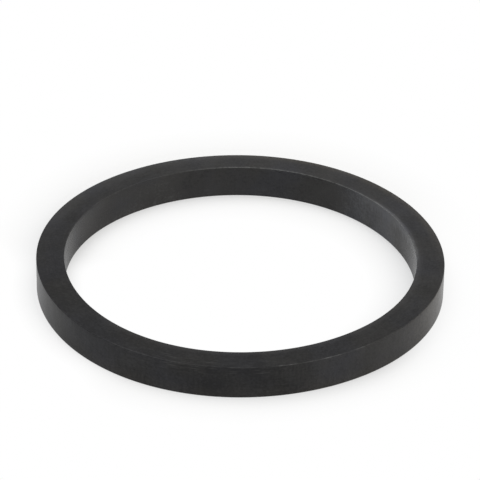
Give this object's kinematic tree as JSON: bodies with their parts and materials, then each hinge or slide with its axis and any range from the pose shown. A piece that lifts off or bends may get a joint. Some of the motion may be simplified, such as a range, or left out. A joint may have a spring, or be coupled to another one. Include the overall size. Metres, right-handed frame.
{
  "type": "oil cooler gasket",
  "caption": "Round rubber sealing ring of rectangular section that seals an oil cooler against its housing.",
  "frame": {"origin": "middle of the lower sealing face, on the ring's axis", "axes": "+Z along the ring's axis, from the lower sealing face to the upper one; X and Y lie in the lower face and are alike"},
  "size_m": [0.074, 0.074, 0.006],
  "materials": {
    "black_rubber": "matt moulded rubber with a faint sheen at a low angle"
  },
  "bodies": {
    "root": {"sealing_ring": "black_rubber"}
  },
  "joints": []
}
